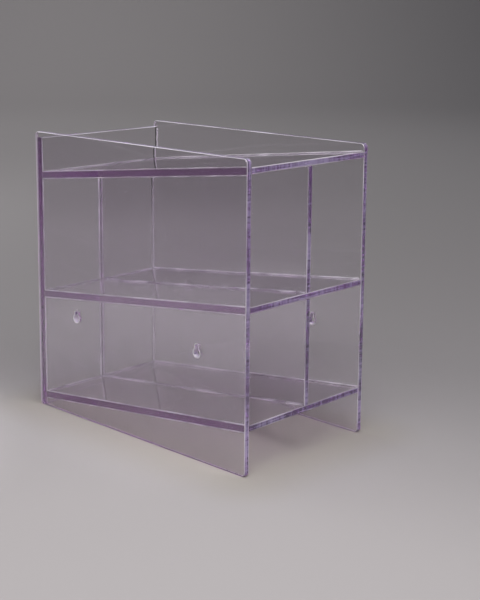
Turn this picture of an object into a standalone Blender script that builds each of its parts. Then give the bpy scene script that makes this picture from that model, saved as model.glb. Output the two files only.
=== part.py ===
"""Pipette holder: a four-bay bench rack cut from clear, violet-tinted PETG sheet.

Two upright side panels stand on the bench and carry everything else. A back panel
closes the rear between them, three shelves slope down towards it, and two dividers
split the space between the shelves into four bays that are open at the front.
All the joints are butt joints made with solvent. The side panels have keyhole
slots, so that the rack can hang with either side against a wall.

Frame: metres, +Z up, the open front faces -Y, X is the width, and the origin is
on the bench under the middle of the rack.
"""

import math

import bmesh
import bpy

# Driving dimensions of the whole rack.
HEIGHT = 0.273  # side panels, from the bench to their top edge
WIDTH = 0.160  # over both side panels
DEPTH = 0.279  # front edge to back face
SHEET = 0.0056  # sheet thickness, the same for all the panels
JOINT = 0.0003  # film of set solvent between two welded faces

# Driving dimensions of the panels' outlines.
CORNER_RADIUS = 0.004  # rounded corners of the side panels
EDGE_BREAK = 0.0004  # chamfer along each edge that a hand can touch
BACK_PANEL_DROP = 0.006  # top of the back panel below the top of the sides

# Driving dimensions of the shelves and bays.
SHELF_SLOPE = math.radians(6.7)  # fall from the open front to the back
TRAY_DROP = 0.0073  # front edge of the top shelf below the top of the sides
FOOT_ROOM = 0.0075  # underside of the bottom shelf above the bench, at the back panel
LOWER_BAY = 0.0972  # clear height of the two lower bays, measured plumb

# Driving dimensions of the keyhole slots.
KEYHOLE_HEAD = 0.0080  # round hole that lets a screw's head through
KEYHOLE_NECK = 0.0044  # width of the neck that grips its shank
KEYHOLE_RISE = 0.0056  # centre of the round hole to centre of the neck's round end
KEYHOLE_INSET = 0.0580  # centre of each slot from the front or back edge
KEYHOLE_HEADROOM = 0.0184  # round hole's centre below the middle shelf, at the rear slot

# Fineness of the round outlines, and how far a cutter passes out of the sheet.
CORNER_SEGMENTS = 6
ARC_SEGMENTS = 20
CUTTER_REACH = 0.002

# Places that follow from the driving dimensions. A shelf's Z is its top face at the front.
FRONT = -DEPTH / 2
SHELF_RUN = DEPTH - SHEET - JOINT
SHELF_FALL = SHELF_RUN * math.tan(SHELF_SLOPE)
SHELF_PLUMB = SHEET / math.cos(SHELF_SLOPE)
INNER_WIDTH = WIDTH - 2 * (SHEET + JOINT)
BOTTOM_SHELF_Z = FOOT_ROOM + SHELF_PLUMB + SHELF_FALL
MIDDLE_SHELF_Z = BOTTOM_SHELF_Z + LOWER_BAY + SHELF_PLUMB
TOP_SHELF_Z = HEIGHT - TRAY_DROP
REAR_KEYHOLE_FALL = (DEPTH - KEYHOLE_INSET) * math.tan(SHELF_SLOPE)
KEYHOLE_Z = MIDDLE_SHELF_Z - SHELF_PLUMB - REAR_KEYHOLE_FALL - KEYHOLE_HEADROOM

# Finish of the sheet, clear through a face and violet through a cut edge.
SHEET_COLOR = (0.62, 0.54, 0.68, 1.0)
SHEET_ROUGHNESS = 0.06
SHEET_IOR = 1.57
SHEET_TRANSMISSION = 0.8


def clear_scene():
    """Removes whatever the scene holds, so that only the rack is in it."""
    for old in list(bpy.data.objects):
        bpy.data.objects.remove(old, do_unlink=True)


def petg(name):
    """Clear PETG sheet with the press-polished face that it leaves the mill with."""
    material = bpy.data.materials.new(name)
    material.use_nodes = True
    shader = material.node_tree.nodes["Principled BSDF"]
    shader.inputs["Base Color"].default_value = SHEET_COLOR
    shader.inputs["Metallic"].default_value = 0.0
    shader.inputs["Roughness"].default_value = SHEET_ROUGHNESS
    shader.inputs["IOR"].default_value = SHEET_IOR
    shader.inputs["Transmission Weight"].default_value = SHEET_TRANSMISSION
    return material


def add_object(name, bm, location, rotation=(0, 0, 0)):
    """Turns a bmesh into a named object of the rack, placed and given its material."""
    mesh = bpy.data.meshes.new(name)
    bm.to_mesh(mesh)
    bm.free()
    mesh.materials.append(petg(name + "_petg"))
    mesh.shade_smooth()
    mesh.set_sharp_from_angle(angle=math.radians(30))
    obj = bpy.data.objects.new(name, mesh)
    obj.location = location
    obj.rotation_euler = rotation
    bpy.context.collection.objects.link(obj)
    return obj


def cut_sheet(profile, width):
    """A sheet with a profile of (y, z) points, extruded along X about its middle."""
    bm = bmesh.new()
    rim = [bm.verts.new((-width / 2, y, z)) for y, z in profile]
    face = bm.faces.new(rim)
    extruded = bmesh.ops.extrude_face_region(bm, geom=[face])
    far_rim = [v for v in extruded["geom"] if isinstance(v, bmesh.types.BMVert)]
    bmesh.ops.translate(bm, verts=far_rim, vec=(width, 0, 0))
    bmesh.ops.recalc_face_normals(bm, faces=bm.faces)
    return bm


def parallel(edge, axis):
    """Whether an edge runs along an axis (0 is X, 1 is Y, 2 is Z)."""
    span = edge.verts[1].co - edge.verts[0].co
    return abs(span[axis]) > 0.999 * span.length


def ease(bm, edges):
    """Breaks sharp edges with a narrow chamfer, as a scraper does after the saw."""
    bmesh.ops.bevel(bm, geom=edges, offset=EDGE_BREAK, segments=1, affect="EDGES")


def arc(centre, radius, start, end):
    """Points of an arc in the YZ plane, both ends included."""
    points = []
    for i in range(ARC_SEGMENTS + 1):
        angle = start + (end - start) * i / ARC_SEGMENTS
        points.append((centre[0] + radius * math.cos(angle), centre[1] + radius * math.sin(angle)))
    return points


def keyhole_outline():
    """A round hole with a narrower neck above it, about the centre of the round hole."""
    head = KEYHOLE_HEAD / 2
    neck = KEYHOLE_NECK / 2
    half_mouth = math.asin(neck / head)
    round_hole = arc((0, 0), head, math.pi / 2 + half_mouth, 2.5 * math.pi - half_mouth)
    neck_end = arc((0, KEYHOLE_RISE), neck, 0, math.pi)
    return round_hole + neck_end


def cut_keyhole(panel, place, y):
    """Cuts one keyhole slot through a side panel, at y along it from its middle."""
    name = f"{panel.name}_{place}_keyhole"
    bm = cut_sheet(keyhole_outline(), SHEET + 2 * CUTTER_REACH)
    mesh = bpy.data.meshes.new(name)
    bm.to_mesh(mesh)
    bm.free()
    cutter = bpy.data.objects.new(name, mesh)
    cutter.parent = panel
    cutter.location = (0, y, KEYHOLE_Z - HEIGHT / 2)
    cutter.hide_render = True
    cutter.display_type = "WIRE"
    bpy.context.collection.objects.link(cutter)
    cut = panel.modifiers.new(name, "BOOLEAN")
    cut.operation = "DIFFERENCE"
    cut.solver = "EXACT"
    cut.object = cutter


def side_panel(name, side):
    """An upright that stands on the bench: corners rounded, rims eased, two slots cut."""
    bm = bmesh.new()
    bmesh.ops.create_cube(bm, size=1.0)
    bmesh.ops.scale(bm, vec=(SHEET, DEPTH, HEIGHT), verts=bm.verts)
    corners = [e for e in bm.edges if parallel(e, 0)]
    bmesh.ops.bevel(
        bm, geom=corners, offset=CORNER_RADIUS, segments=CORNER_SEGMENTS, profile=0.5, affect="EDGES"
    )
    rims = [e for e in bm.edges if not parallel(e, 0)]
    ease(bm, rims)
    panel = add_object(name, bm, (side * (WIDTH - SHEET) / 2, 0, HEIGHT / 2))
    reach = DEPTH / 2 - KEYHOLE_INSET
    cut_keyhole(panel, "front", -reach)
    cut_keyhole(panel, "rear", reach)


def back_panel():
    """The rear wall. It stands on the bench between the sides and stops short of their top."""
    top = HEIGHT - BACK_PANEL_DROP
    half = SHEET / 2
    bm = cut_sheet([(-half, 0), (half, 0), (half, top), (-half, top)], INNER_WIDTH)
    ease(bm, [e for e in bm.edges if parallel(e, 0)])
    add_object("back_panel", bm, (0, DEPTH / 2 - half, 0))


def shelf(name, z):
    """A sloping shelf, its front and back edges mitred plumb to seat on the back panel.

    The mesh is a level sheet with its top face in the XY plane, and the object tilts it.
    """
    run = SHELF_RUN / math.cos(SHELF_SLOPE)
    mitre = SHEET * math.tan(SHELF_SLOPE)
    bm = cut_sheet([(mitre, -SHEET), (run + mitre, -SHEET), (run, 0), (0, 0)], INNER_WIDTH)
    front_edges = [e for e in bm.edges if parallel(e, 0) and e.verts[0].co.y < run / 2]
    ease(bm, front_edges)
    add_object(name, bm, (0, FRONT, z), (-SHELF_SLOPE, 0, 0))


def divider(name, floor_z, ceiling_z):
    """A plumb wall in the middle of the rack, cut to the slope of the two shelves it joins."""
    low = floor_z + JOINT
    height = ceiling_z - SHELF_PLUMB - JOINT - low
    profile = [(0, 0), (SHELF_RUN, -SHELF_FALL), (SHELF_RUN, height - SHELF_FALL), (0, height)]
    bm = cut_sheet(profile, SHEET)
    front_edges = [e for e in bm.edges if parallel(e, 2) and e.verts[0].co.y < SHELF_RUN / 2]
    ease(bm, front_edges)
    add_object(name, bm, (0, FRONT, low))


def build():
    """Makes the eight panels in the order in which they are welded."""
    clear_scene()
    side_panel("left_side_panel", -1)
    back_panel()
    shelf("bottom_shelf", BOTTOM_SHELF_Z)
    divider("lower_divider", BOTTOM_SHELF_Z, MIDDLE_SHELF_Z)
    shelf("middle_shelf", MIDDLE_SHELF_Z)
    divider("upper_divider", MIDDLE_SHELF_Z, TOP_SHELF_Z)
    shelf("top_shelf", TOP_SHELF_Z)
    side_panel("right_side_panel", 1)


build()
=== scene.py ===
import math

import bmesh
import bpy
from mathutils import Matrix, Vector


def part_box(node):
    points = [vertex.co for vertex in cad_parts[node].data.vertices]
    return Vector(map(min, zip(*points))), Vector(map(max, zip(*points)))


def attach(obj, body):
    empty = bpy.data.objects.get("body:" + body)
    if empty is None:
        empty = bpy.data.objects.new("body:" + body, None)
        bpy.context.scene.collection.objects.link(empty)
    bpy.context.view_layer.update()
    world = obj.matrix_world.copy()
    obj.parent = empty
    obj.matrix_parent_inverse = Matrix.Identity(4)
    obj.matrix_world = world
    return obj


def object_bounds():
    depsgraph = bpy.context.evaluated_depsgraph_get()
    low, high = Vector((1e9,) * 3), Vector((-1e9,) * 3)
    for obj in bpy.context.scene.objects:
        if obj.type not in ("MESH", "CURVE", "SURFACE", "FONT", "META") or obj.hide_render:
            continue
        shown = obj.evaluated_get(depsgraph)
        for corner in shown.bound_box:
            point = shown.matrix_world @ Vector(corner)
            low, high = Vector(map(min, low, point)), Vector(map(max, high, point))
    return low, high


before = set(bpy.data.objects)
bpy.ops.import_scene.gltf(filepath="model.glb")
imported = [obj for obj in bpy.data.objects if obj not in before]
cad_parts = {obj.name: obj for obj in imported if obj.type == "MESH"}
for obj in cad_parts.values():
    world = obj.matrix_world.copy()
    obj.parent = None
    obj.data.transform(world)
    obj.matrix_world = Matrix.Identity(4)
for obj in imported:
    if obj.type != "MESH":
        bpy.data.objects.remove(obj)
cad_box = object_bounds()


# Left side panel
# An upright of clear PETG sheet that stands on the bench and carries the shelves' left ends.
# It is sawn and routed to shape, its edges are scraped, and its two keyholes are machined.

EDGE_BREAK = 0.0004  # chamfer along the open edges
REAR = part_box("left_side_panel")[1].y

PETG_IOR = 1.57
FACE_TINT = "#F8F7F9"  # light that crosses a pressed face
EDGE_TINT = "#BDB2D6"  # a scraped edge scatters the violet back
WELD_TINT = "#F4ECF8"  # light that enters a sheet through a welded end
DYE = "#DF8DE9"  # what the violet dye lets through
DYE_DENSITY = 6.5  # per metre, so that 5 mm of sheet looks clear and 150 mm looks violet

HAZE_SIZE = 0.045  # cloudy patches left by wiping
SMOOTHEST_FACE, HAZIEST_FACE = 0.012, 0.05  # roughness
DUST_AND_LIGHT_BELOW, DUST_AND_LIGHT_ABOVE = 0.08, 0.2  # heights between which the film of dust, and with it the painted light, thins out
DUSTY_AND_LIT, LEAST_DUST_AND_LIGHT = 0.93, 0.985  # share of the light that still passes below and above them
SWELL_SIZE = 0.022  # slow waves that the press leaves on a face
SWELL_DEPTH = 0.00003

SAW_MARK_SIZE = 0.0021  # marks that cross an edge, drawn coarser than the real 0.5 mm to show
SAW_MARK_DEPTH = 0.00013
SCRAPE_WIDTH = 0.0021  # spacing of the scraper's lines, also drawn coarser than the real ones
SCRAPE_LENGTH = 0.045  # length of one of them
PASS_LENGTH = 0.07  # stretch of an edge that is scraped in one go
CLEAREST_FROST, MILKIEST_FROST = 0.88, 0.2  # share of the light that passes a scraped edge
SMOOTHEST_FROST, ROUGHEST_FROST = 0.1, 0.3  # its roughness from outside
INNER_FROST = 0.7  # and from inside the sheet
ARRIS_FROST_AND_HIGHLIGHT = "#EDE8F1"  # the scraped arrises are milky, and whitened further as a painted highlight
ARRIS = 0.0007  # width of that line beside a chamfer
FLUSHED_TINT = "#E9DFEC"  # the rear corners are scraped flush after welding, and stay milky
FLUSHED = 0.0028  # width of that line on the faces
FLUSHED_ROUGHNESS = 0.35

BURR_TINT = "#F4F0F6"  # the cutter leaves the walls of a keyhole white
BURR = 0.0007  # width of the whitened rim round a keyhole
BURR_CLEARNESS = 0.05
BURR_ROUGHNESS = 0.5
KEYHOLE_REACH = 0.0815  # keyholes' distance from the middle of the panel
KEYHOLE_HEIGHT = 0.09806  # of their round holes
KEYHOLE_HEAD = 0.0040  # radius of a round hole
KEYHOLE_NECK = 0.0022  # half the width of its neck
KEYHOLE_RISE = 0.0056  # from the round hole's centre to the top of the neck's straight part


def linear(hex_code):
    """The linear colour that an sRGB hex code stands for."""
    channels = [int(hex_code[i : i + 2], 16) / 255 for i in (1, 3, 5)]
    curve = [c / 12.92 if c <= 0.04045 else ((c + 0.055) / 1.055) ** 2.4 for c in channels]
    return (*curve, 1.0)


def add(tree, kind, settings=None, links=None):
    """Adds a node. Lower-case settings are its properties, the others are values of its sockets."""
    node = tree.nodes.new(kind)
    for key, value in (settings or {}).items():
        if isinstance(key, str) and key == key.lower():
            setattr(node, key, value)
        else:
            node.inputs[key].default_value = value
    for key, source in (links or {}).items():
        output = source.outputs[0] if isinstance(source, bpy.types.Node) else source
        tree.links.new(output, node.inputs[key])
    return node


def keyhole_burr(tree, place):
    """1 on the walls of the keyholes and on a narrow rim round them, and 0 elsewhere."""
    axes = add(tree, "ShaderNodeSeparateXYZ", {}, {0: place})
    off = add(tree, "ShaderNodeMath", {"operation": "ABSOLUTE"}, {0: axes.outputs["Y"]})
    off = add(tree, "ShaderNodeMath", {"operation": "SUBTRACT", 1: KEYHOLE_REACH}, {0: off})
    up = add(
        tree,
        "ShaderNodeMath",
        {"operation": "SUBTRACT", 1: KEYHOLE_HEIGHT},
        {0: axes.outputs["Z"]},
    )
    neck = add(
        tree,
        "ShaderNodeMapRange",
        {"From Max": KEYHOLE_RISE, "To Max": KEYHOLE_RISE},
        {"Value": up},
    )
    neck = add(tree, "ShaderNodeMath", {"operation": "SUBTRACT"}, {0: up, 1: neck})
    gaps = []
    for height, radius in ((up, KEYHOLE_HEAD), (neck, KEYHOLE_NECK)):
        way = add(tree, "ShaderNodeCombineXYZ", {}, {"X": off, "Y": height})
        way = add(tree, "ShaderNodeVectorMath", {"operation": "LENGTH"}, {0: way})
        gaps.append(
            add(
                tree,
                "ShaderNodeMath",
                {"operation": "SUBTRACT", 1: radius},
                {0: way.outputs["Value"]},
            )
        )
    gap = add(tree, "ShaderNodeMath", {"operation": "MINIMUM"}, {0: gaps[0], 1: gaps[1]})
    return add(
        tree,
        "ShaderNodeMapRange",
        {"From Min": 1.4 * BURR, "From Max": 0.6 * BURR},
        {"Value": gap},
    )


def petg_sheet(
    name, node, across, open_ways, seed, density=DYE_DENSITY, weld_tint=WELD_TINT, upright=False
):
    """Dyed PETG sheet, pressed between polished plates, with sawn and scraped edges.

    To the eye it is glass-clear through its faces, violet along its depth, and frosted where it
    was cut, with a painted highlight along its arrises. across is the direction of the sheet's
    thickness, and open_ways are the directions in which its edges are scraped and left open. Its
    other edges are welded, and the solvent has cleared them. upright is for a panel with keyholes.
    """
    material = bpy.data.materials.new(name)
    material.use_nodes = True
    tree = material.node_tree
    tree.nodes.clear()
    place = add(tree, "ShaderNodeTexCoord").outputs["Object"]
    normal = add(tree, "ShaderNodeNewGeometry").outputs["True Normal"]
    facing = add(tree, "ShaderNodeVectorMath", {"operation": "DOT_PRODUCT", 1: across}, {0: normal})
    facing = add(tree, "ShaderNodeMath", {"operation": "ABSOLUTE"}, {0: facing.outputs["Value"]})
    edge = add(
        tree,
        "ShaderNodeMapRange",
        {"From Min": 0.985, "From Max": 0.9, "To Min": 0.0, "To Max": 1.0},
        {"Value": facing},
    )
    opening = add(
        tree, "ShaderNodeVectorMath", {"operation": "MULTIPLY", 1: open_ways}, {0: normal}
    )
    opening = add(tree, "ShaderNodeVectorMath", {"operation": "LENGTH"}, {0: opening})
    scraped = add(
        tree,
        "ShaderNodeMapRange",
        {"From Min": 0.35, "From Max": 0.55},
        {"Value": opening.outputs["Value"]},
    )

    # The press leaves a slow swell on the faces, and wiping leaves a little haze.
    haze = add(
        tree,
        "ShaderNodeTexNoise",
        {"noise_dimensions": "4D", "W": seed, "Scale": 1 / HAZE_SIZE, "Detail": 4.0},
        {"Vector": place},
    )
    hazed = add(
        tree,
        "ShaderNodeMapRange",
        {
            "From Min": 0.42,
            "From Max": 0.72,
            "To Min": SMOOTHEST_FACE,
            "To Max": HAZIEST_FACE,
        },
        {"Value": haze},
    )
    swell = add(
        tree,
        "ShaderNodeTexNoise",
        {"noise_dimensions": "4D", "W": seed + 3.0, "Scale": 1 / SWELL_SIZE, "Detail": 1.0},
        {"Vector": place},
    )
    swollen = add(
        tree, "ShaderNodeBump", {"Strength": 0.25, "Distance": SWELL_DEPTH}, {"Height": swell}
    )

    # The saw's marks cross an edge, and the scraper leaves it frosted in strokes.
    stretch = tuple(0.12 if abs(a) > 0.5 else 1.0 for a in across)
    along = add(tree, "ShaderNodeVectorMath", {"operation": "MULTIPLY", 1: stretch}, {0: place})
    levels = [Vector(across).dot(vertex.co) for vertex in node.data.vertices]
    middle = (min(levels) + max(levels)) / 2
    inset = (max(levels) - min(levels)) / 2 - EDGE_BREAK - ARRIS
    saw_marks = add(
        tree,
        "ShaderNodeTexNoise",
        {"noise_dimensions": "4D", "W": seed + 7.0, "Scale": 1 / SAW_MARK_SIZE, "Detail": 3.0},
        {"Vector": along},
    )
    width = add(tree, "ShaderNodeVectorMath", {"operation": "DOT_PRODUCT", 1: across}, {0: place})
    length = add(
        tree, "ShaderNodeVectorMath", {"operation": "DOT_PRODUCT", 1: (1, 1, 1)}, {0: place}
    )
    off = add(
        tree, "ShaderNodeMath", {"operation": "SUBTRACT", 1: middle}, {0: width.outputs["Value"]}
    )
    off = add(tree, "ShaderNodeMath", {"operation": "ABSOLUTE"}, {0: off})
    arris = add(
        tree,
        "ShaderNodeMapRange",
        {"From Min": inset, "From Max": inset + ARRIS},
        {"Value": off},
    )
    arris = add(tree, "ShaderNodeMath", {"operation": "MULTIPLY"}, {0: arris, 1: scraped})
    width = add(
        tree,
        "ShaderNodeMath",
        {"operation": "MULTIPLY", 1: 1 / SCRAPE_WIDTH},
        {0: width.outputs["Value"]},
    )
    length = add(
        tree,
        "ShaderNodeMath",
        {"operation": "MULTIPLY", 1: 1 / SCRAPE_LENGTH},
        {0: length.outputs["Value"]},
    )
    lines = add(tree, "ShaderNodeCombineXYZ", {}, {"X": width, "Y": length})
    strokes = add(
        tree,
        "ShaderNodeTexNoise",
        {"noise_dimensions": "4D", "W": seed + 11.0, "Scale": 1.0, "Detail": 3.0},
        {"Vector": lines},
    )
    passes = add(
        tree,
        "ShaderNodeTexNoise",
        {"noise_dimensions": "4D", "W": seed + 17.0, "Scale": 1 / PASS_LENGTH, "Detail": 1.0},
        {"Vector": place},
    )
    worn = add(tree, "ShaderNodeMix", {"Factor": 0.5}, {"A": strokes, "B": saw_marks})
    worn = add(tree, "ShaderNodeMix", {"Factor": 0.35}, {"A": worn, "B": passes})
    clear = add(
        tree,
        "ShaderNodeMapRange",
        {
            "From Min": 0.43,
            "From Max": 0.58,
            "To Min": CLEAREST_FROST,
            "To Max": MILKIEST_FROST,
        },
        {"Value": worn},
    )

    # Frost scatters light on the outside only. From inside the sheet, it glows with what comes in.
    inside = add(tree, "ShaderNodeNewGeometry").outputs["Backfacing"]
    outside = add(tree, "ShaderNodeMath", {"operation": "SUBTRACT", 0: 1.0}, {1: inside})
    milky = add(tree, "ShaderNodeMath", {"operation": "MULTIPLY"}, {0: scraped, 1: outside})

    # A film of dust lies on the faces, thicker towards the bench. Its thickening is also painted
    # light: the lower faces scatter more and look lighter.
    height = add(tree, "ShaderNodeSeparateXYZ", {}, {0: place}).outputs["Z"]
    dust_and_painted_light = add(
        tree,
        "ShaderNodeMapRange",
        {
            "From Min": DUST_AND_LIGHT_BELOW,
            "From Max": DUST_AND_LIGHT_ABOVE,
            "To Min": DUSTY_AND_LIT,
            "To Max": LEAST_DUST_AND_LIGHT,
        },
        {"Value": height},
    )
    faces_dust_and_light = add(
        tree,
        "ShaderNodeMapRange",
        {"From Min": 0.35, "From Max": 0.7, "To Min": 0.995},
        {"Value": haze, "To Max": dust_and_painted_light},
    )
    faces_dust_and_light = add(tree, "ShaderNodeMix", {"B": 1.0}, {"Factor": edge, "A": faces_dust_and_light})
    clearness = add(tree, "ShaderNodeMix", {}, {"Factor": milky, "A": faces_dust_and_light, "B": clear})
    # Painted highlight: on the outside of a scraped edge, the arris line is whiter and milkier.
    glint = add(
        tree,
        "ShaderNodeMapRange",
        {"From Min": 0.4, "From Max": 0.6, "To Min": 0.6, "To Max": 0.08},
        {"Value": passes},
    )
    arris_highlight = add(tree, "ShaderNodeMath", {"operation": "MULTIPLY"}, {0: arris, 1: outside})
    clearness = add(tree, "ShaderNodeMix", {}, {"Factor": arris_highlight, "A": clearness, "B": glint})
    frosted = add(
        tree,
        "ShaderNodeMapRange",
        {
            "From Min": 0.35,
            "From Max": 0.65,
            "To Min": SMOOTHEST_FROST,
            "To Max": ROUGHEST_FROST,
        },
        {"Value": strokes},
    )
    frosted = add(tree, "ShaderNodeMix", {"B": INNER_FROST}, {"Factor": inside, "A": frosted})
    roughness = add(tree, "ShaderNodeMix", {}, {"Factor": scraped, "A": hazed, "B": frosted})
    depth = add(tree, "ShaderNodeMapRange", {"To Min": 0.12, "To Max": 1.0}, {"Value": scraped})
    cut = add(tree, "ShaderNodeMath", {"operation": "MULTIPLY"}, {0: edge, 1: depth})
    tooled = add(
        tree,
        "ShaderNodeBump",
        {"Distance": SAW_MARK_DEPTH},
        {"Strength": cut, "Height": saw_marks, "Normal": swollen},
    )

    # The colours of the faces, welded ends, frosted edges, and the arrises with their painted
    # highlight.
    welded = add(
        tree,
        "ShaderNodeMath",
        {"operation": "SUBTRACT", "use_clamp": True},
        {0: edge, 1: scraped},
    )
    tint = add(
        tree,
        "ShaderNodeMix",
        {"data_type": "RGBA", 6: linear(FACE_TINT), 7: linear(weld_tint)},
        {0: welded},
    )
    tint = add(
        tree,
        "ShaderNodeMix",
        {"data_type": "RGBA", 7: linear(EDGE_TINT)},
        {0: milky, 6: tint.outputs[2]},
    )
    tint = add(
        tree,
        "ShaderNodeMix",
        {"data_type": "RGBA", 7: linear(ARRIS_FROST_AND_HIGHLIGHT)},
        {0: arris, 6: tint.outputs[2]},
    )
    tint = tint.outputs[2]
    if upright:
        # A broad milky line runs down the rear corners.
        rear = add(tree, "ShaderNodeSeparateXYZ", {}, {0: place}).outputs["Y"]
        rear = add(
            tree,
            "ShaderNodeMapRange",
            {"From Min": REAR - 1.3 * FLUSHED, "From Max": REAR - 0.7 * FLUSHED},
            {"Value": rear},
        )
        rear = add(tree, "ShaderNodeMath", {"operation": "MULTIPLY"}, {0: rear, 1: outside})
        rear = add(tree, "ShaderNodeMix", {"B": 0.0}, {"Factor": edge, "A": rear})
        milk = {"data_type": "RGBA", 7: linear(FLUSHED_TINT)}
        tint = add(tree, "ShaderNodeMix", milk, {0: rear, 6: tint}).outputs[2]
        brushed = add(
            tree,
            "ShaderNodeMapRange",
            {"From Min": 0.35, "From Max": 0.65, "To Min": 0.1, "To Max": 0.5},
            {"Value": worn},
        )
        clearness = add(tree, "ShaderNodeMix", {}, {"Factor": rear, "A": clearness, "B": brushed})
        roughness = add(
            tree, "ShaderNodeMix", {"B": FLUSHED_ROUGHNESS}, {"Factor": rear, "A": roughness}
        )

        # The keyholes' walls and rims are white, with torn gaps in the rims.
        burr = keyhole_burr(tree, place)
        burr = add(tree, "ShaderNodeMath", {"operation": "MULTIPLY"}, {0: burr, 1: outside})
        torn = add(
            tree,
            "ShaderNodeMapRange",
            {"From Min": 0.43, "From Max": 0.53, "To Max": 0.9},
            {"Value": saw_marks},
        )
        torn = add(tree, "ShaderNodeMix", {"A": 1.0}, {"Factor": edge, "B": torn})
        burr = add(tree, "ShaderNodeMath", {"operation": "MULTIPLY"}, {0: burr, 1: torn})
        white = {"data_type": "RGBA", 7: linear(BURR_TINT)}
        tint = add(tree, "ShaderNodeMix", white, {0: burr, 6: tint}).outputs[2]
        clearness = add(
            tree, "ShaderNodeMix", {"B": BURR_CLEARNESS}, {"Factor": burr, "A": clearness}
        )
        roughness = add(
            tree, "ShaderNodeMix", {"B": BURR_ROUGHNESS}, {"Factor": burr, "A": roughness}
        )
    shader = add(
        tree,
        "ShaderNodeBsdfPrincipled",
        {"IOR": PETG_IOR},
        {
            "Base Color": tint,
            "Roughness": roughness,
            "Transmission Weight": clearness,
            "Normal": tooled,
        },
    )
    dye = add(
        tree, "ShaderNodeVolumeAbsorption", {"Color": linear(DYE), "Density": density}
    )
    add(tree, "ShaderNodeOutputMaterial", {}, {"Surface": shader, "Volume": dye})
    return material


left_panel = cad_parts["left_side_panel"]
left_panel.material_slots[0].material = petg_sheet(
    "pressed_petg_left_side", left_panel, (1, 0, 0), (0, 1, 1), 1.0, upright=True
)


# Back panel
# The rear wall, an upright rectangle of the same PETG sheet with a scraped top edge.
# It is set between the sides, its ends are welded to them, and the shelves stop on it.

back_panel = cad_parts["back_panel"]
back_panel.material_slots[0].material = petg_sheet(
    "pressed_petg_back", back_panel, (0, 1, 0), (0, 0, 1), 2.0
)


# Bottom shelf
# The floor of the two lower bays, a PETG sheet that slopes down to the back.
# Its ends are welded to the sides, and only its front edge is left open.

SHELF_SLOPE = math.radians(6.7)
SHELF_ACROSS = (0, math.sin(SHELF_SLOPE), math.cos(SHELF_SLOPE))
BOTTOM_DYE_DENSITY = 12.0  # this sheet took up the most dye
BOTTOM_WELD_TINT = "#E3A9E8"  # and some of it came out with the solvent

bottom_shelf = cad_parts["bottom_shelf"]
bottom_shelf.material_slots[0].material = petg_sheet(
    "pressed_petg_bottom",
    bottom_shelf,
    SHELF_ACROSS,
    (0, 1, 0),
    3.0,
    BOTTOM_DYE_DENSITY,
    BOTTOM_WELD_TINT,
)


# Lower divider
# A plumb wall of PETG sheet that parts the lower bays. It is sawn to the shelves' slope at
# both ends, and welded to the shelf below it, the shelf above it and the back panel.

lower_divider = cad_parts["lower_divider"]
lower_divider.material_slots[0].material = petg_sheet(
    "pressed_petg_lower_divider", lower_divider, (1, 0, 0), (0, 1, 0), 4.0
)


# Middle shelf
# The roof of the lower bays and the floor of the upper ones, a sloping PETG sheet.
# It runs whole from side to side, welded to both of them and to the dividers.

middle_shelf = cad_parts["middle_shelf"]
middle_shelf.material_slots[0].material = petg_sheet(
    "pressed_petg_middle", middle_shelf, SHELF_ACROSS, (0, 1, 0), 5.0
)


# Upper divider
# A plumb wall of PETG sheet that parts the upper bays, in line with the lower one.
# It is welded in between the middle and top shelves in the same way.

upper_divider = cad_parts["upper_divider"]
upper_divider.material_slots[0].material = petg_sheet(
    "pressed_petg_upper_divider", upper_divider, (1, 0, 0), (0, 1, 0), 6.0
)


# Top shelf
# The roof of the upper bays, a sloping PETG sheet that is set a little under the sides' top.
# With them and the back panel, to which it is welded, it makes a shallow tray.

TOP_DYE_DENSITY = 4.8  # this sheet took up the least dye

top_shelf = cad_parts["top_shelf"]
top_shelf.material_slots[0].material = petg_sheet(
    "pressed_petg_top", top_shelf, SHELF_ACROSS, (0, 1, 0), 9.0, TOP_DYE_DENSITY
)


# Right side panel
# The left one's twin in the same PETG sheet, with the same rounded corners and keyholes.
# It goes on last, and closes the right ends of the back panel and of the shelves.

right_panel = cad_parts["right_side_panel"]
right_panel.material_slots[0].material = petg_sheet(
    "pressed_petg_right_side", right_panel, (1, 0, 0), (0, 1, 1), 8.0, upright=True
)


# Solvent welds
# Thin solvent is run along each joint. It fuses the sheets, and what is left over sets in the
# corner as a narrow bead, clear or milky, and a little thicker where the bottle has paused.

SHEET = 0.0056  # thickness of all the panels
BEAD = 0.0005  # radius of a bead on a shelf
SIDE_BEAD = 0.0006  # of one between a shelf and a side panel
UPRIGHT_BEAD = 0.0007  # of one on the back panel, where the solvent runs down and gathers
BEAD_GAP = 0.00003  # between a bead and the sheets beside it
BEAD_STEP = 0.0022  # length of bead between two rings of its mesh
BEAD_RINGS = 8  # corners of a ring
BEAD_UNEVEN = 0.3  # share by which its thickness changes
BEAD_PAUSES = 70.0  # per metre, the thick places where the bottle has paused
BEAD_END = 0.0016  # a bead stops this short of a corner
MILKY_SIZE = 0.03  # length of bead that has set milky or clear
SKIN_SIZE = 0.0011  # ripples in its skin
SKIN_DEPTH = 0.0001
SMOOTHEST_SKIN, ROUGHEST_SKIN = 0.03, 0.14  # its roughness
SOLVENT_TINT = "#EDE7F1"
SOLVENT_IOR = 1.5

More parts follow.
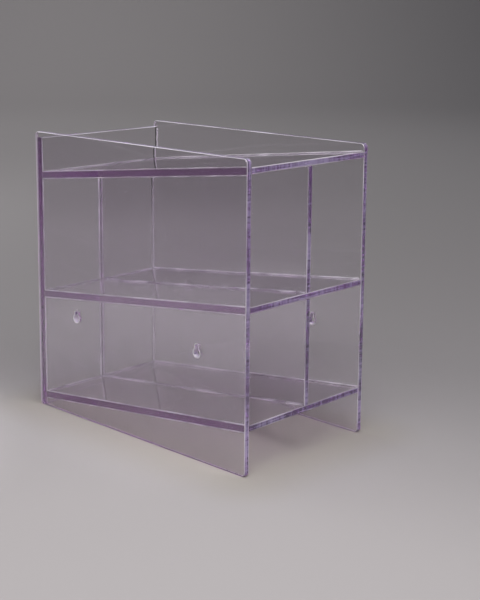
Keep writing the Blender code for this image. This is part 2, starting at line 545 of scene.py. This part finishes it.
tree = bpy.data.node_groups.new("run_solvent_bead", "GeometryNodeTree")
for name, kind in (
    ("Paths", "NodeSocketGeometry"),
    ("Radius", "NodeSocketFloat"),
    ("Step", "NodeSocketFloat"),
    ("Unevenness", "NodeSocketFloat"),
    ("Seed", "NodeSocketFloat"),
    ("Material", "NodeSocketMaterial"),
):
    tree.interface.new_socket(name, in_out="INPUT", socket_type=kind)
tree.interface.new_socket("Beads", in_out="OUTPUT", socket_type="NodeSocketGeometry")
given = add(tree, "NodeGroupInput").outputs
lines = add(tree, "GeometryNodeMeshToCurve", {}, {"Mesh": given["Paths"]})
lines = add(
    tree, "GeometryNodeResampleCurve", {"mode": "LENGTH"}, {"Curve": lines, "Length": given["Step"]}
)
pauses = add(
    tree,
    "ShaderNodeTexNoise",
    {"noise_dimensions": "4D", "Scale": BEAD_PAUSES, "Detail": 2.0},
    {"W": given["Seed"]},
)
thinnest = add(tree, "ShaderNodeMath", {"operation": "SUBTRACT", 0: 1.0}, {1: given["Unevenness"]})
swelling = add(
    tree,
    "ShaderNodeMapRange",
    {"From Min": 0.3, "From Max": 0.7, "To Max": 1.0},
    {"Value": pauses, "To Min": thinnest},
)
lines = add(tree, "GeometryNodeSetCurveRadius", {}, {"Curve": lines, "Radius": swelling})
ring = add(
    tree,
    "GeometryNodeCurvePrimitiveCircle",
    {"Resolution": BEAD_RINGS},
    {"Radius": given["Radius"]},
)
beads = add(
    tree,
    "GeometryNodeCurveToMesh",
    {"Fill Caps": True},
    {"Curve": lines, "Profile Curve": ring.outputs["Curve"]},
)
beads = add(tree, "GeometryNodeRealizeInstances", {}, {"Geometry": beads})
beads = add(
    tree, "GeometryNodeSetMaterial", {}, {"Geometry": beads, "Material": given["Material"]}
)
add(tree, "NodeGroupOutput", {}, {"Beads": beads})
bead_tree = tree


def set_solvent(name, milkiest, clearest):
    """PETG that solvent has dissolved and that has dried again in the corner, with a thin skin.

    To the eye it is a fine glossy line, clear where it was thin and milky where it stood thick.
    """
    material = bpy.data.materials.new(name)
    material.use_nodes = True
    tree = material.node_tree
    tree.nodes.clear()
    place = add(tree, "ShaderNodeTexCoord").outputs["Object"]
    skin = add(
        tree, "ShaderNodeTexNoise", {"Scale": 1 / SKIN_SIZE, "Detail": 2.0}, {"Vector": place}
    )
    skinned = add(
        tree,
        "ShaderNodeMapRange",
        {"To Min": SMOOTHEST_SKIN, "To Max": ROUGHEST_SKIN},
        {"Value": skin},
    )
    wavy = add(tree, "ShaderNodeBump", {"Strength": 0.4, "Distance": SKIN_DEPTH}, {"Height": skin})
    milk = add(
        tree, "ShaderNodeTexNoise", {"Scale": 1 / MILKY_SIZE, "Detail": 1.0}, {"Vector": place}
    )
    milk = add(
        tree,
        "ShaderNodeMapRange",
        {"From Min": 0.4, "From Max": 0.6, "To Min": milkiest, "To Max": clearest},
        {"Value": milk},
    )
    shader = add(
        tree,
        "ShaderNodeBsdfPrincipled",
        {"Base Color": linear(SOLVENT_TINT), "IOR": SOLVENT_IOR},
        {"Roughness": skinned, "Normal": wavy, "Transmission Weight": milk},
    )
    dye = add(
        tree, "ShaderNodeVolumeAbsorption", {"Color": linear(DYE), "Density": DYE_DENSITY}
    )
    add(tree, "ShaderNodeOutputMaterial", {}, {"Surface": shader, "Volume": dye})
    return material


# The numbers are the share of the light that passes, where milkiest and where clearest.
milky_solvent = set_solvent("set_solvent_milky", 0.1, 0.55)
thin_solvent = set_solvent("set_solvent_thin", 0.45, 0.9)
thick_solvent = set_solvent("set_solvent_thick", 0.1, 0.5)


def weld(name, paths, radius, solvent, seed):
    """Runs beads along straight paths, each given by its two ends, and makes them one piece."""
    mesh = bpy.data.meshes.new(name)
    points = [tuple(point) for path in paths for point in path]
    mesh.from_pydata(points, [(i, i + 1) for i in range(0, len(points), 2)], [])
    runs = bpy.data.objects.new(name + "_paths", mesh)
    bpy.context.scene.collection.objects.link(runs)
    modifier = runs.modifiers.new("beads", "NODES")
    modifier.node_group = bead_tree
    sizes = {
        "Radius": radius,
        "Step": BEAD_STEP,
        "Unevenness": BEAD_UNEVEN,
        "Seed": seed,
        "Material": solvent,
    }
    for socket in bead_tree.interface.items_tree:
        if socket.in_out == "INPUT" and socket.name in sizes:
            modifier[socket.identifier] = sizes[socket.name]
    graph = bpy.context.evaluated_depsgraph_get()
    made = bpy.data.meshes.new_from_object(runs.evaluated_get(graph))
    bpy.data.objects.remove(runs)
    made.name = name
    made.shade_smooth()
    beads = bpy.data.objects.new(name, made)
    bpy.context.scene.collection.objects.link(beads)
    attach(beads, "root")
    return beads


left_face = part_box("left_side_panel")[1].x
right_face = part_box("right_side_panel")[0].x
back_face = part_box("back_panel")[0].y
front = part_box("bottom_shelf")[0].y
shelf_plumb = SHEET / math.cos(SHELF_SLOPE)
half = SHEET / 2
nest = BEAD + BEAD_GAP  # from a sheet's face to the middle of a bead
side_nest = SIDE_BEAD + BEAD_GAP
upright_nest = UPRIGHT_BEAD + BEAD_GAP


def shelf_height(node, y):
    """Height of a shelf's top face at y."""
    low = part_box(node)[0].z + shelf_plumb
    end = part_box(node)[1].y
    return low + (end - y) * math.tan(SHELF_SLOPE)


def beside_shelf(node, y, over, off):
    """Height at y of a bead over or under a shelf, with its middle off the sheet by off."""
    top = shelf_height(node, y)
    plumb = off / math.cos(SHELF_SLOPE)
    return top + plumb if over else top - shelf_plumb - plumb


def slope_run(node, x, over, off):
    """A path along a shelf from front to back."""
    ends = (front + BEAD_END, back_face - BEAD_END)
    return [(x, y, beside_shelf(node, y, over, off)) for y in ends]


def cross_run(node, x0, x1, over):
    """A path across the back panel, along a shelf."""
    y = back_face - nest
    z = beside_shelf(node, y, over, nest)
    return [(x0 + BEAD_END, y, z), (x1 - BEAD_END, y, z)]


for seed, (node, bay_above, bay_below) in enumerate(
    (
        ("bottom_shelf", True, False),
        ("middle_shelf", True, True),
        ("top_shelf", False, True),
    )
):
    side_paths = []
    paths = []
    for over, divided in ((True, bay_above), (False, bay_below)):
        side_paths.append(slope_run(node, left_face + side_nest, over, side_nest))
        side_paths.append(slope_run(node, right_face - side_nest, over, side_nest))
        if divided:
            paths.append(slope_run(node, -half - nest, over, nest))
            paths.append(slope_run(node, half + nest, over, nest))
            paths.append(cross_run(node, left_face, -half, over))
            paths.append(cross_run(node, half, right_face, over))
        else:
            paths.append(cross_run(node, left_face, right_face, over))
    weld(node + "_side_welds", side_paths, SIDE_BEAD, milky_solvent, 30.0 + seed)
    weld(node + "_welds", paths, BEAD, thin_solvent, 20.0 + seed)

paths = []
bays = (
    (None, "bottom_shelf"),
    ("bottom_shelf", "middle_shelf"),
    ("middle_shelf", "top_shelf"),
    ("top_shelf", None),
)
for below, above in bays:
    y = back_face - upright_nest
    low = shelf_height(below, y) + BEAD_END if below else BEAD_END
    high = (
        shelf_height(above, y) - shelf_plumb - BEAD_END
        if above
        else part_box("back_panel")[1].z - BEAD_END
    )
    for x in (left_face + upright_nest, right_face - upright_nest):
        paths.append([(x, y, low), (x, y, high)])
    if below and above:
        for x in (-half - upright_nest, half + upright_nest):
            paths.append([(x, y, low), (x, y, high)])
weld("back_panel_welds", paths, UPRIGHT_BEAD, thick_solvent, 24.0)


# Floor and backdrop
# One sweep of matt background paper, flat under the rack, then curving up into a wall all round it.
# Painted light and shade: it is lightest in front of the rack on the left, darker towards the back.

FLOOR_GAP = 0.00012  # under the panels' feet, so that no two faces coincide
SWEEP_FLAT = 3.4  # radius of the flat part
SWEEP_CURVE = 1.6  # radius of the curve up to the wall
SWEEP_WALL = 3.0  # height of the wall's top
SWEEP_STEPS = 96
CURVE_STEPS = 16

# Lit and shaded tones of one paper, for the painted pool of light and its fall-off.
LIT_PAPER_NEAR = "#B5B0B1"
SHADED_PAPER_MIDDLE = "#908C8E"
LIT_PAPER_FAR_LEFT = "#D5D0D2"
SHADED_PAPER_FAR_RIGHT = "#76757A"
LIGHT_POOL_MIDDLE = (-0.375, -0.303, 0.0)  # a painted pool of light: the paper is lightest here, and darkens outwards
LIGHT_POOL_INNER = 0.25
LIGHT_POOL_OUTER = 0.74
FAR = 3.235  # distance from there at which it has the far colours
SIDEWAYS = (0.69, -0.73, 0.0)  # across the picture, to the right
FAR_LEFT, FAR_RIGHT = -0.914, 2.292  # where the far colours are reached, along SIDEWAYS
FOOT_SHADE = "#F5F3EA"  # painted shadow: the paper is a little darker and warmer close to the rack
FOOT_SHADE_REACH = 0.07
SIDE_SHADE = 0.3  # painted shade: the far left of the set, which the side panels mirror, is darker
SIDE_SHADE_FROM, SIDE_SHADE_TO = -1.4, -1.0  # along SIDEWAYS
PAINTED_LIGHT_PATCH = "#DBD7D9"  # painted light: a paler patch beside the rack, which the panels' lower half mirrors
PATCH_MIDDLE = (-0.39, 0.25, 0.0)
PATCH_INNER = 0.14
PATCH_OUTER = 0.32

profile = [Vector((0, 0, -FLOOR_GAP)), Vector((SWEEP_FLAT, 0, -FLOOR_GAP))]
for step in range(1, CURVE_STEPS + 1):
    turn = math.pi / 2 * step / CURVE_STEPS
    reach = SWEEP_FLAT + SWEEP_CURVE * math.sin(turn)
    profile.append(Vector((reach, 0, SWEEP_CURVE * (1 - math.cos(turn)) - FLOOR_GAP)))
profile.append(Vector((SWEEP_FLAT + SWEEP_CURVE, 0, SWEEP_WALL)))
bm = bmesh.new()
line = [bm.verts.new(point) for point in profile]
edges = [bm.edges.new(pair) for pair in zip(line, line[1:])]
bmesh.ops.spin(
    bm, geom=line + edges, axis=(0, 0, 1), cent=(0, 0, 0), angle=math.tau, steps=SWEEP_STEPS
)
bmesh.ops.remove_doubles(bm, verts=bm.verts, dist=1e-5)
bmesh.ops.recalc_face_normals(bm, faces=bm.faces)
if sum(face.normal.z for face in bm.faces) < 0:
    bmesh.ops.reverse_faces(bm, faces=bm.faces)
sweep_mesh = bpy.data.meshes.new("sweep")
bm.to_mesh(sweep_mesh)
bm.free()
sweep_mesh.shade_smooth()
sweep = bpy.data.objects.new("sweep", sweep_mesh)
bpy.context.scene.collection.objects.link(sweep)

# Uncoated paper: a soft grey without a sheen, with the light's fall-off painted into its colour in
# slow gradients.
paper = bpy.data.materials.new("matt_paper_with_painted_light")
paper.use_nodes = True
tree = paper.node_tree
tree.nodes.clear()
place = add(tree, "ShaderNodeTexCoord").outputs["Object"]
offset = add(tree, "ShaderNodeVectorMath", {"operation": "SUBTRACT", 1: LIGHT_POOL_MIDDLE}, {0: place})
offset = add(tree, "ShaderNodeVectorMath", {"operation": "LENGTH"}, {0: offset})
fade = add(
    tree,
    "ShaderNodeMapRange",
    {"interpolation_type": "SMOOTHSTEP", "From Min": LIGHT_POOL_INNER, "From Max": LIGHT_POOL_OUTER},
    {"Value": offset.outputs["Value"]},
)
shade = add(
    tree,
    "ShaderNodeMix",
    {"data_type": "RGBA", 6: linear(LIT_PAPER_NEAR), 7: linear(SHADED_PAPER_MIDDLE)},
    {0: fade},
)
rise = add(
    tree,
    "ShaderNodeMapRange",
    {"interpolation_type": "SMOOTHSTEP", "From Min": LIGHT_POOL_OUTER, "From Max": FAR},
    {"Value": offset.outputs["Value"]},
)
# Painted fall-off across the set: lighter far to the left, darker far to the right.
sideways = add(
    tree, "ShaderNodeVectorMath", {"operation": "DOT_PRODUCT", 1: SIDEWAYS}, {0: place}
)
across = add(
    tree,
    "ShaderNodeMapRange",
    {"interpolation_type": "SMOOTHSTEP", "From Min": FAR_LEFT, "From Max": FAR_RIGHT},
    {"Value": sideways.outputs["Value"]},
)
far = add(
    tree,
    "ShaderNodeMix",
    {"data_type": "RGBA", 6: linear(LIT_PAPER_FAR_LEFT), 7: linear(SHADED_PAPER_FAR_RIGHT)},
    {0: across},
)
shade = add(
    tree,
    "ShaderNodeMix",
    {"data_type": "RGBA"},
    {0: rise, 6: shade.outputs[2], 7: far.outputs[2]},
)
# Painted shadow: the paper is darker and warmer round the rack's feet.
foot = cad_box[1]
beside = add(tree, "ShaderNodeVectorMath", {"operation": "ABSOLUTE"}, {0: place})
beside = add(
    tree,
    "ShaderNodeVectorMath",
    {"operation": "SUBTRACT", 1: (foot[0], foot[1], 0.0)},
    {0: beside},
)
beside = add(
    tree, "ShaderNodeVectorMath", {"operation": "MAXIMUM", 1: (0.0, 0.0, 0.0)}, {0: beside}
)
beside = add(tree, "ShaderNodeVectorMath", {"operation": "LENGTH"}, {0: beside})
close = add(
    tree,
    "ShaderNodeMapRange",
    {
        "interpolation_type": "SMOOTHSTEP",
        "From Max": FOOT_SHADE_REACH,
        "To Min": 1.0,
        "To Max": 0.0,
    },
    {"Value": beside.outputs["Value"]},
)
# Painted shade: the far left of the set is darker.
aside = add(
    tree,
    "ShaderNodeMapRange",
    {
        "interpolation_type": "SMOOTHSTEP",
        "From Min": SIDE_SHADE_FROM,
        "From Max": SIDE_SHADE_TO,
        "To Min": SIDE_SHADE,
        "To Max": 1.0,
    },
    {"Value": sideways.outputs["Value"]},
)
shade = add(
    tree, "ShaderNodeVectorMath", {"operation": "SCALE"}, {0: shade.outputs[2], "Scale": aside}
)
shade = add(
    tree,
    "ShaderNodeMix",
    {"data_type": "RGBA", "blend_type": "MULTIPLY", 7: linear(FOOT_SHADE)},
    {0: close, 6: shade},
).outputs[2]
# Painted light: a paler patch of paper beside the rack.
patch = add(tree, "ShaderNodeVectorMath", {"operation": "SUBTRACT", 1: PATCH_MIDDLE}, {0: place})
patch = add(tree, "ShaderNodeVectorMath", {"operation": "LENGTH"}, {0: patch})
patch = add(
    tree,
    "ShaderNodeMapRange",
    {"interpolation_type": "SMOOTHSTEP", "From Min": PATCH_OUTER, "From Max": PATCH_INNER},
    {"Value": patch.outputs["Value"]},
)
shade = add(
    tree, "ShaderNodeMix", {"data_type": "RGBA", 7: linear(PAINTED_LIGHT_PATCH)}, {0: patch, 6: shade}
).outputs[2]
shader = add(
    tree,
    "ShaderNodeBsdfPrincipled",
    {"Roughness": 0.9, "Specular IOR Level": 0.2},
    {"Base Color": shade},
)
add(tree, "ShaderNodeOutputMaterial", {}, {"Surface": shader})
sweep_mesh.materials.append(paper)


# Studio light
# A soft box high on the left, one behind the rack that draws its edges, and an even light all
# round. Stacked sheets pass a ray on many times, so the light paths may be long.

RACK_MIDDLE = Vector((0, 0, 0.13))
SOFT_BOXES = (
    # name, place, side, power
    ("key", (-0.42, -0.5, 1.3), 0.9, 14.0),
    ("rim", (-0.1, 1.25, 1.0), 1.0, 5.5),
)
ROOM_LIGHT = 0.42
LONGEST_PATH = 64

for name, place, side, power in SOFT_BOXES:
    light = bpy.data.lights.new(name, "AREA")
    light.shape = "SQUARE"
    light.size = side
    light.energy = power
    soft_box = bpy.data.objects.new(name, light)
    soft_box.location = place
    soft_box.rotation_euler = (Vector(place) - RACK_MIDDLE).to_track_quat("Z", "Y").to_euler()
    soft_box.visible_camera = False
    bpy.context.scene.collection.objects.link(soft_box)

world = bpy.data.worlds.new("studio")
world.use_nodes = True
tree = world.node_tree
tree.nodes.clear()
background = add(
    tree, "ShaderNodeBackground", {"Color": (1.0, 1.0, 1.0, 1.0), "Strength": ROOM_LIGHT}
)
add(tree, "ShaderNodeOutputWorld", {}, {"Surface": background})
bpy.context.scene.world = world
bpy.context.scene.view_settings.view_transform = "Standard"
bpy.context.scene.cycles.max_bounces = LONGEST_PATH
bpy.context.scene.cycles.glossy_bounces = LONGEST_PATH
bpy.context.scene.cycles.transmission_bounces = LONGEST_PATH
bpy.context.scene.cycles.blur_glossy = 0.0


# Camera
# It stands to the left of the open front, a little above the rack, on a short telephoto lens.
# The lens is shifted downwards, so that the uprights stay nearly parallel in the picture.

CAMERA_PLACE = (-0.8153, -0.8245, 0.4073)
CAMERA_YAW = math.radians(-46.717)
CAMERA_PITCH = math.radians(10.213)
CAMERA_ROLL = math.radians(0.467)
FOCAL_PIXELS = 1248.7  # for a picture 600 pixels high
LENS_SHIFT = -0.14

view = bpy.data.cameras.new("camera")
view.sensor_width = 36.0
view.lens = 36.0 * FOCAL_PIXELS / 600
view.shift_y = LENS_SHIFT
view.clip_start = 0.01
camera = bpy.data.objects.new("camera", view)
camera.matrix_world = (
    Matrix.Translation(CAMERA_PLACE)
    @ Matrix.Rotation(CAMERA_YAW, 4, "Z")
    @ Matrix.Rotation(math.pi / 2 - CAMERA_PITCH, 4, "X")
    @ Matrix.Rotation(CAMERA_ROLL, 4, "Z")
)
bpy.context.scene.collection.objects.link(camera)
bpy.context.scene.camera = camera
